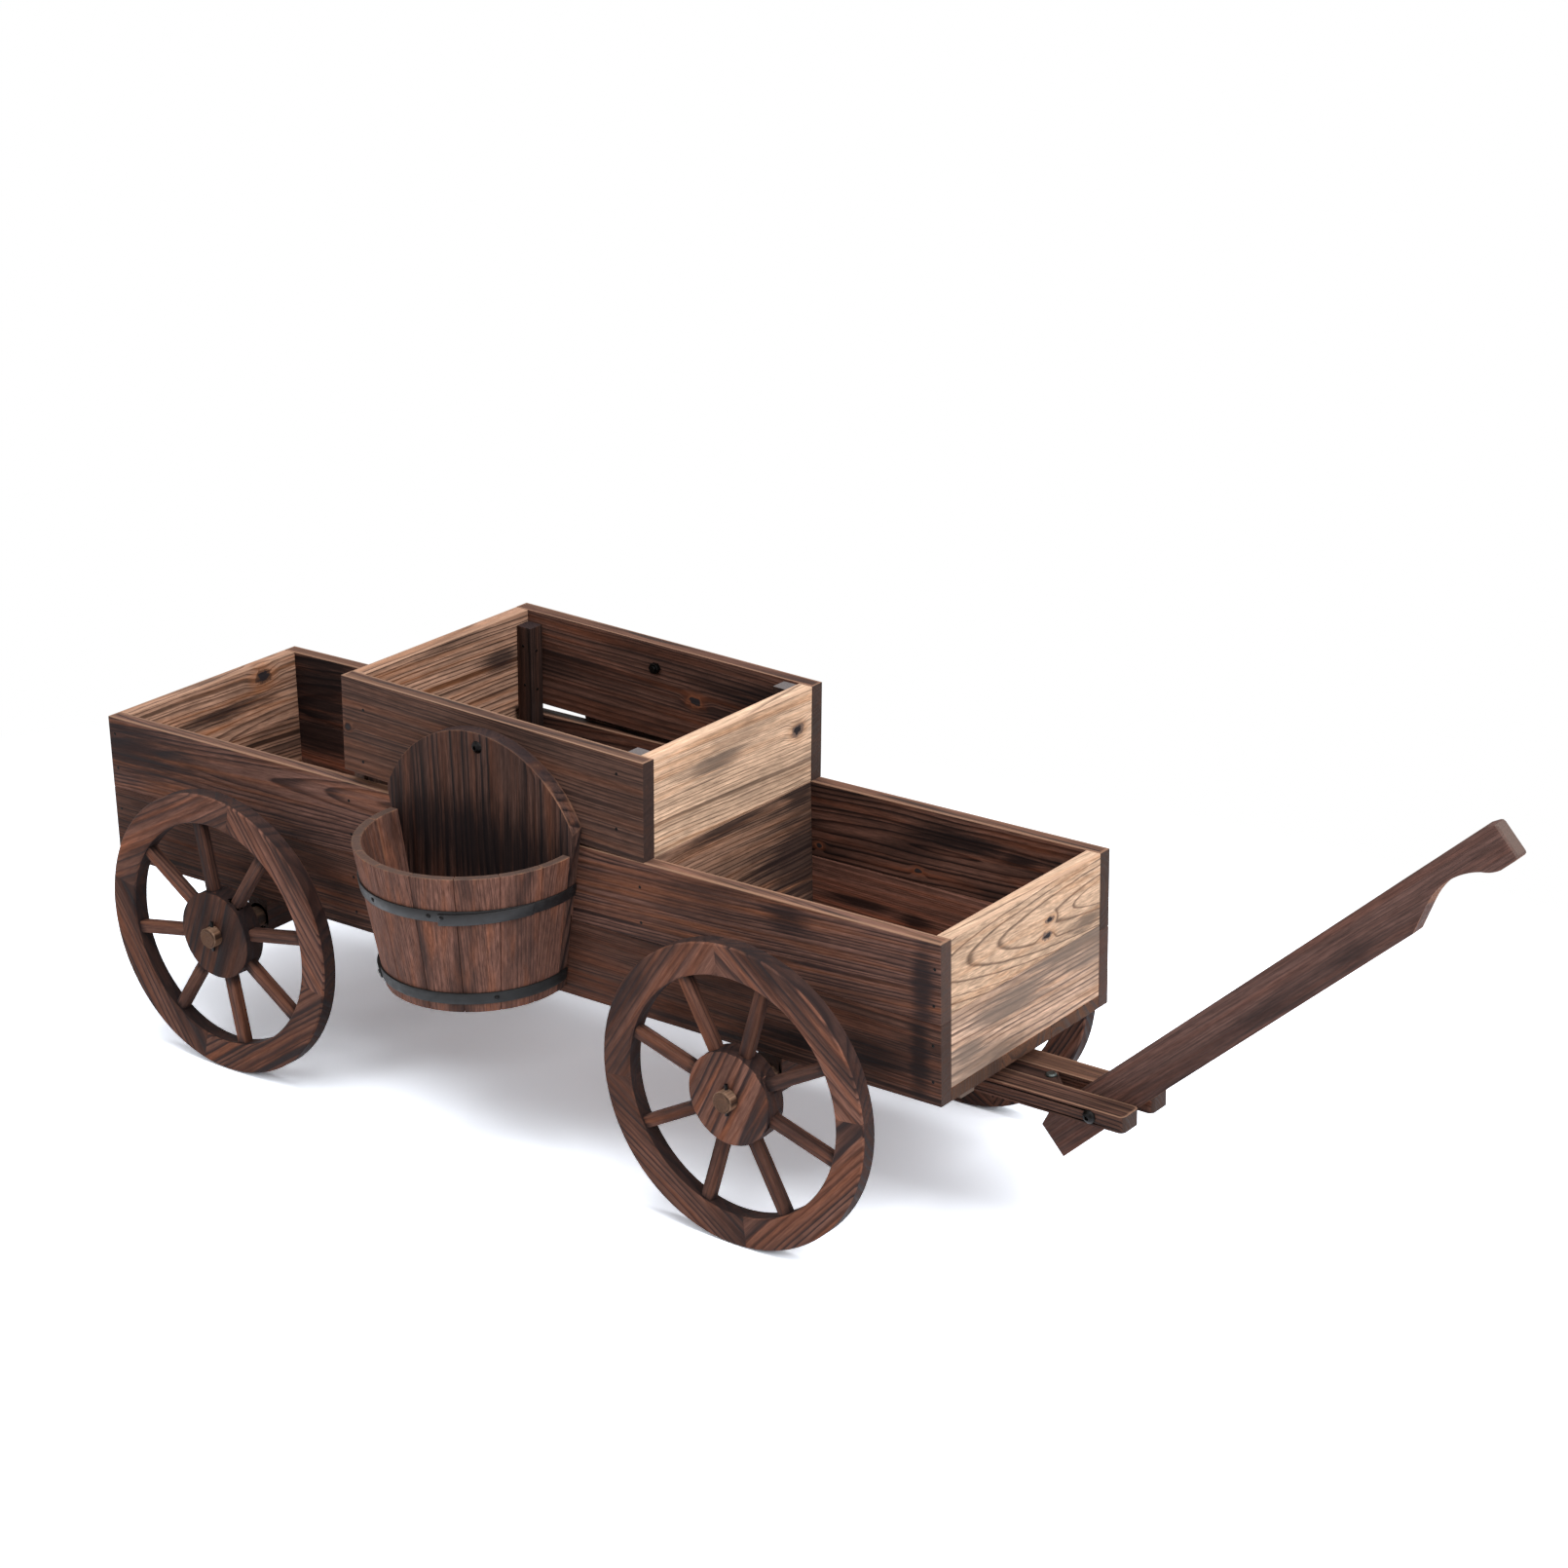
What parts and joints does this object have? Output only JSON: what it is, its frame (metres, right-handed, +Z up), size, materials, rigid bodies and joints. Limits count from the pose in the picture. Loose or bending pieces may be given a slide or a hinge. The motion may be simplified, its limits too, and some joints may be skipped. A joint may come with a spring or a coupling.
{
  "type": "cart-shaped plant stand",
  "caption": "Wooden cart that holds plants: a compartmented tray on spoked wheels, with a raised open crate, half barrels on its sides and a hinged pull handle.",
  "frame": {"origin": "middle of the whole cart's bounding box, on the ground under the wheels", "axes": "+X along the cart towards the handle, +Y to the cart's left side, +Z up"},
  "size_m": [1.1638, 0.422, 0.3826],
  "materials": {
    "side_boards": "carbonised fir, brushed along the grain, dark brown",
    "pale_boards": "lightly carbonised fir with bold dark grain",
    "end_boards": "carbonised fir, brown with dark grain",
    "frame_wood": "carbonised fir, dark brown",
    "wheel_wood": "carbonised fir, dark brown with blackened zones",
    "dowel_wood": "hardwood dowel, brown, pale end grain",
    "handle_wood": "carbonised fir, dark brown, worn smooth",
    "barrel_wood": "carbonised fir, reddish brown staves",
    "hoop_iron": "black painted iron band, satin",
    "dark_fasteners": "black zinc-plated steel"
  },
  "bodies": {
    "cart": {"axle_beam_front": "frame_wood", "axle_beam_rear": "frame_wood", "axle_dowels": "dowel_wood", "axle_pins": "dark_fasteners", "barrel_bolts": "dark_fasteners", "barrel_left_back_board": "barrel_wood", "barrel_left_base": "barrel_wood", "barrel_left_hoop_lower": "hoop_iron", "barrel_left_hoop_upper": "hoop_iron", "barrel_left_staves": "barrel_wood", "barrel_nuts": "dark_fasteners", "barrel_right_back_board": "barrel_wood", "barrel_right_base": "barrel_wood", "barrel_right_hoop_lower": "hoop_iron", "barrel_right_hoop_upper": "hoop_iron", "barrel_right_staves": "barrel_wood", "corner_post_front_left": "frame_wood", "corner_post_front_right": "frame_wood", "corner_post_rear_left": "frame_wood", "corner_post_rear_right": "frame_wood", "crate_board_front": "pale_boards", "crate_board_left": "end_boards", "crate_board_rear": "end_boards", "crate_board_right": "end_boards", "divider_front": "end_boards", "divider_rear": "end_boards", "drawbar_filler": "frame_wood", "drawbar_rail_left": "frame_wood", "drawbar_rail_right": "frame_wood", "end_board_front_lower": "end_boards", "end_board_front_upper": "pale_boards", "end_board_rear_lower": "end_boards", "end_board_rear_upper": "end_boards", "filler_screw": "dark_fasteners", "floor_board_left": "frame_wood", "floor_board_middle": "frame_wood", "floor_board_right": "frame_wood", "front_bolster": "frame_wood", "pivot_bolt": "dark_fasteners", "pivot_nut": "dark_fasteners", "pivot_washers": "dark_fasteners", "side_board_left_lower": "side_boards", "side_board_left_upper": "side_boards", "side_board_right_lower": "side_boards", "side_board_right_upper": "side_boards"},
    "wheel_front_right": {"wheel_front_right_felloes": "wheel_wood", "wheel_front_right_spokes": "wheel_wood", "wheel_front_right_hub": "wheel_wood"},
    "wheel_front_left": {"wheel_front_left_felloes": "wheel_wood", "wheel_front_left_spokes": "wheel_wood", "wheel_front_left_hub": "wheel_wood"},
    "wheel_rear_right": {"wheel_rear_right_felloes": "wheel_wood", "wheel_rear_right_spokes": "wheel_wood", "wheel_rear_right_hub": "wheel_wood"},
    "wheel_rear_left": {"wheel_rear_left_felloes": "wheel_wood", "wheel_rear_left_spokes": "wheel_wood", "wheel_rear_left_hub": "wheel_wood"},
    "handle": {"handle": "handle_wood"}
  },
  "joints": [
    {"name": "wheel_front_right_spin", "type": "hinge", "parent": "cart", "child": "wheel_front_right", "pos_m": [0.06913, -0.139, 0.114], "axis": [0, 1, 0], "continuous": true},
    {"name": "wheel_front_left_spin", "type": "hinge", "parent": "cart", "child": "wheel_front_left", "pos_m": [0.06913, 0.139, 0.114], "axis": [0, 1, 0], "continuous": true},
    {"name": "wheel_rear_right_spin", "type": "hinge", "parent": "cart", "child": "wheel_rear_right", "pos_m": [-0.43287, -0.139, 0.114], "axis": [0, 1, 0], "continuous": true},
    {"name": "wheel_rear_left_spin", "type": "hinge", "parent": "cart", "child": "wheel_rear_left", "pos_m": [-0.43287, 0.139, 0.114], "axis": [0, 1, 0], "continuous": true},
    {"name": "handle_lift", "type": "hinge", "parent": "cart", "child": "handle", "pos_m": [0.28813, 0, 0.1146], "axis": [0, -1, 0], "range_deg": [0, 68]}
  ]
}
